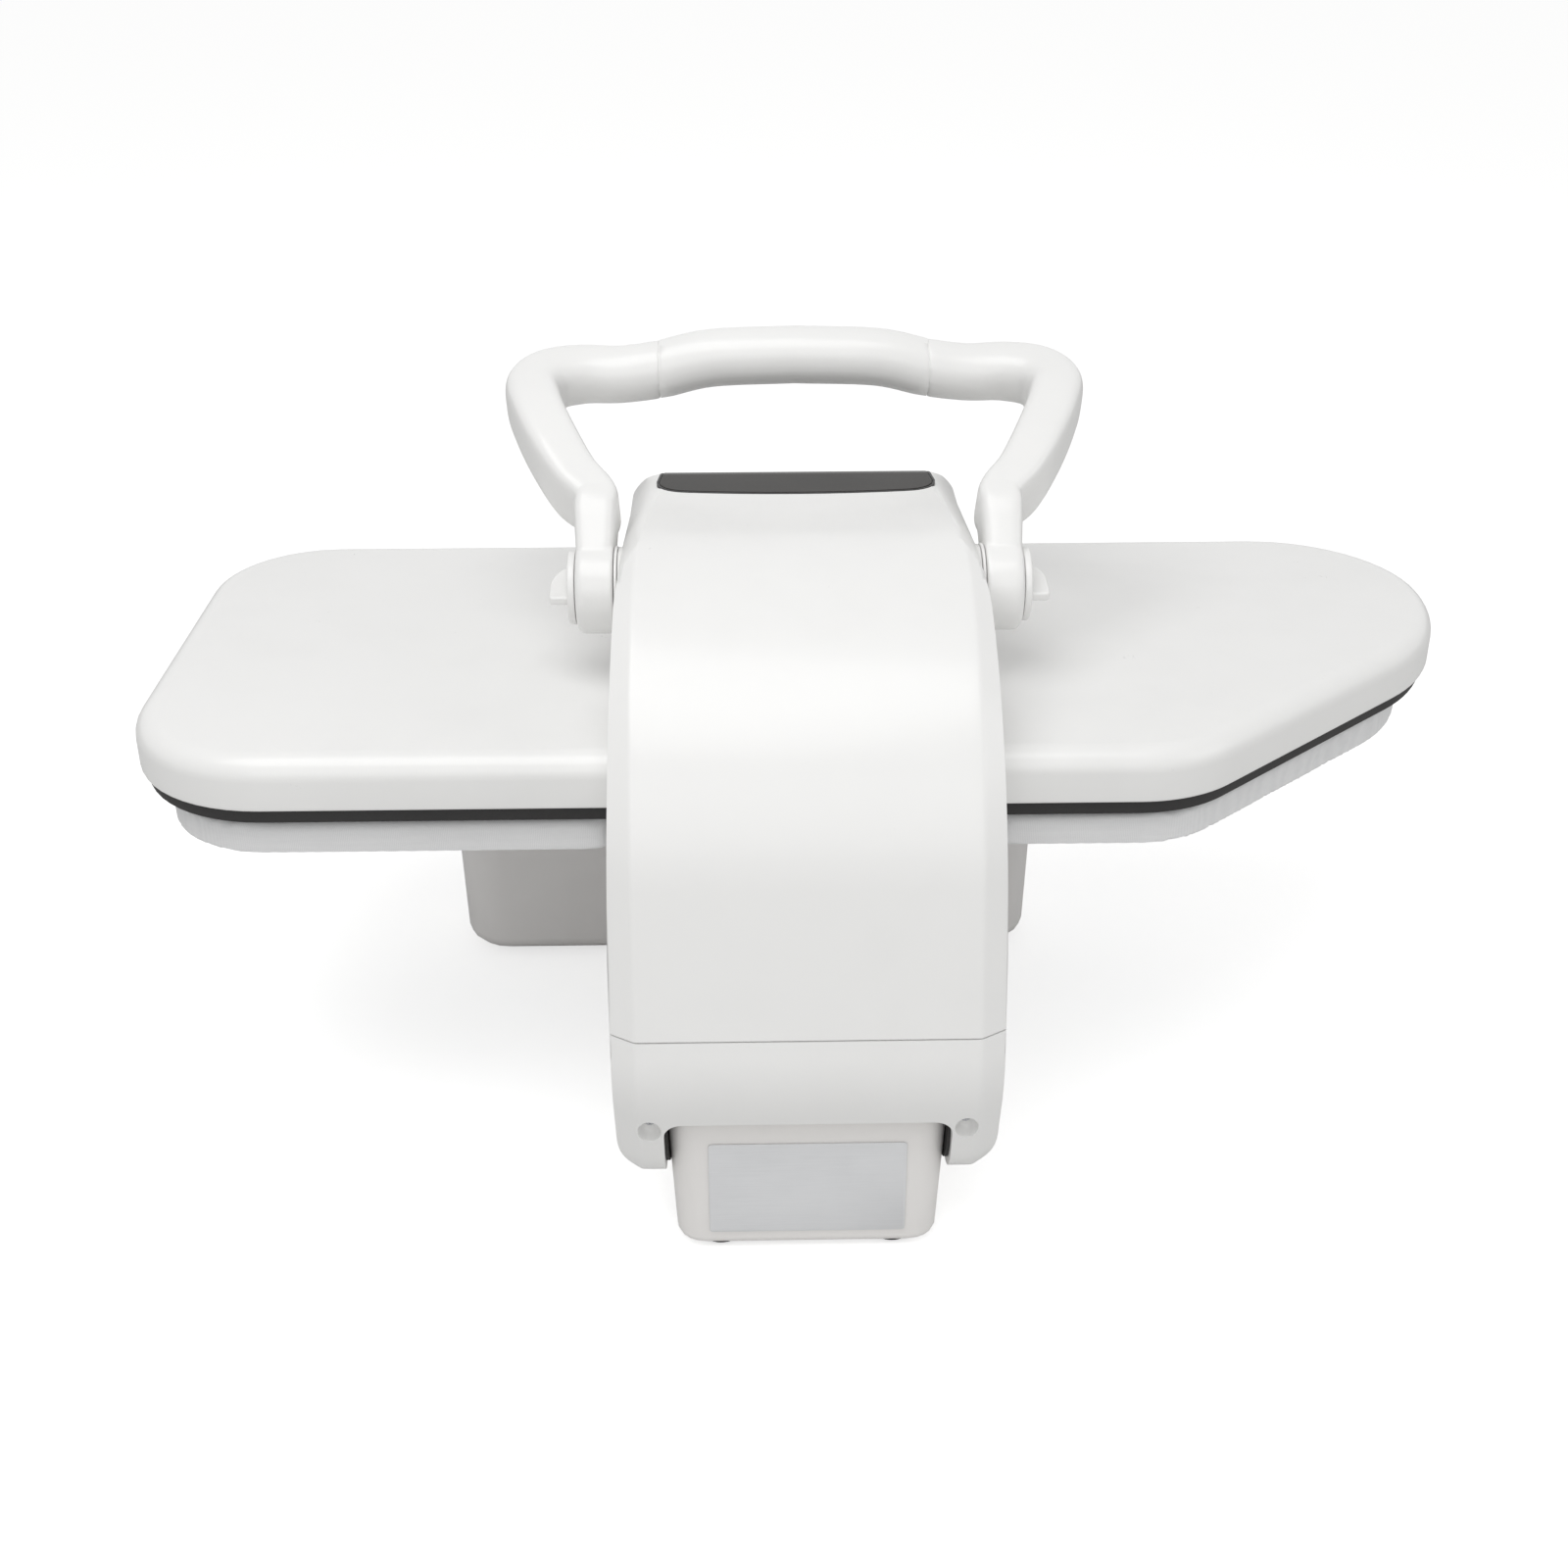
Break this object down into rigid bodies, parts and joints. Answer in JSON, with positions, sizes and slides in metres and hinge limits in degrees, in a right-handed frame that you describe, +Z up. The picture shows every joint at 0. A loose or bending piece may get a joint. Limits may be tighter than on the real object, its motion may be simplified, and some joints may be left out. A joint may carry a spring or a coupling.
{
  "type": "steam ironing press",
  "caption": "White tabletop steam ironing press with an arched rear arm that opens, a swinging handle with two wing knobs, and a padded board on a pedestal.",
  "frame": {"origin": "centre of the overall box in plan, at the level the feet stand on", "axes": "+X towards the board's square end, +Y towards the rear hinge, +Z up; the operator stands at -Y"},
  "size_m": [0.6406, 0.3458, 0.3586],
  "materials": {
    "white_moulding": "smooth satin gloss",
    "base_moulding": "fine moulded texture",
    "board_fabric": "woven, light grey",
    "board_foam": "open-cell foam",
    "zinc_steel": "zinc plated",
    "cast_aluminium": "cast and ground",
    "bush_bronze": "turned",
    "black_rubber": "matt",
    "panel_glass": "glossy black",
    "bezel_black": "matt black",
    "label_silver": "bare silver film",
    "circuit_board": "solder mask",
    "insulation_felt": "needled felt",
    "silicone_hose": "silicone",
    "tank_plastic": "smoked, glossy",
    "black_plastic": "matt"
  },
  "bodies": {
    "base": {"base_housing": "base_moulding", "base_plate": "black_plastic", "foot_rear_left": "black_rubber", "foot_rear_right": "black_rubber", "foot_front_left": "black_rubber", "foot_front_right": "black_rubber", "rating_plate": "label_silver", "base_chassis": "zinc_steel", "hinge_bracket_left": "zinc_steel", "hinge_bracket_right": "zinc_steel", "hinge_axle": "zinc_steel", "board_pan": "zinc_steel", "board_foam": "board_foam", "board_cover": "board_fabric", "pump": "black_plastic", "power_inlet": "black_plastic", "tank_bay": "base_moulding", "steam_hose": "silicone_hose", "mains_lead_inside": "black_plastic"},
    "arm": {"arm_rear_cover": "white_moulding", "arm_inner_cover": "white_moulding", "arm_lower_cover": "white_moulding", "control_panel": "panel_glass", "panel_bezel": "bezel_black", "control_board": "circuit_board", "cover_screw_left": "zinc_steel", "cover_screw_right": "zinc_steel", "side_plate_left": "zinc_steel", "side_plate_right": "zinc_steel", "hinge_bush_left": "bush_bronze", "hinge_bush_right": "bush_bronze", "cross_bar": "zinc_steel", "mount_plate": "zinc_steel", "head_bolt_rear": "zinc_steel", "head_bolt_front": "zinc_steel", "stud_nut_left": "zinc_steel", "stud_nut_right": "zinc_steel", "lift_spring_left": "zinc_steel", "lift_spring_right": "zinc_steel", "head_cover": "white_moulding", "head_tray": "zinc_steel", "insulation_felt": "insulation_felt", "heating_plate": "cast_aluminium", "heating_element": "black_plastic", "steam_chamber": "cast_aluminium", "thermostat": "black_plastic", "thermal_fuse": "base_moulding"},
    "handle": {"handle_arm_left": "white_moulding", "handle_arm_right": "white_moulding", "handle_grip": "white_moulding", "handle_core": "zinc_steel", "hub_washer_left": "black_plastic", "hub_washer_right": "black_plastic"},
    "left_knob": {"knob_left": "white_moulding", "knob_stud_left": "zinc_steel"},
    "right_knob": {"knob_right": "white_moulding", "knob_stud_right": "zinc_steel"},
    "tank": {"water_tank": "tank_plastic", "tank_lid": "tank_plastic"},
    "cap": {"tank_cap": "black_rubber"}
  },
  "joints": [
    {"name": "arm_hinge", "type": "hinge", "parent": "base", "child": "arm", "pos_m": [0.01125, 0.13932, 0.064], "axis": [-1, 0, 0], "range_deg": [0, 40], "stiffness_Nm_per_rad": 9, "springref_deg": 57.3, "deforming": ["lift_spring_left", "lift_spring_right", "steam_hose", "mains_lead_inside"]},
    {"name": "handle_hinge", "type": "hinge", "parent": "arm", "child": "handle", "pos_m": [0.01125, 0.00632, 0.266], "axis": [-1, 0, 0], "range_deg": [-16, 110]},
    {"name": "knob_left_turn", "type": "hinge", "parent": "handle", "child": "left_knob", "pos_m": [0.11476, 0.00632, 0.266], "axis": [1, 0, 0], "range_deg": [-90, 90]},
    {"name": "knob_right_turn", "type": "hinge", "parent": "handle", "child": "right_knob", "pos_m": [-0.09226, 0.00632, 0.266], "axis": [-1, 0, 0], "range_deg": [-90, 90]},
    {"name": "tank_slide", "type": "slide", "parent": "base", "child": "tank", "axis": [0, -1, 0], "range_m": [0, 0.045]},
    {"name": "tank_cap_hinge", "type": "hinge", "parent": "tank", "child": "cap", "pos_m": [0.07725, -0.11118, 0.09555], "axis": [-1, 0, 0], "range_deg": [0, 100]}
  ]
}
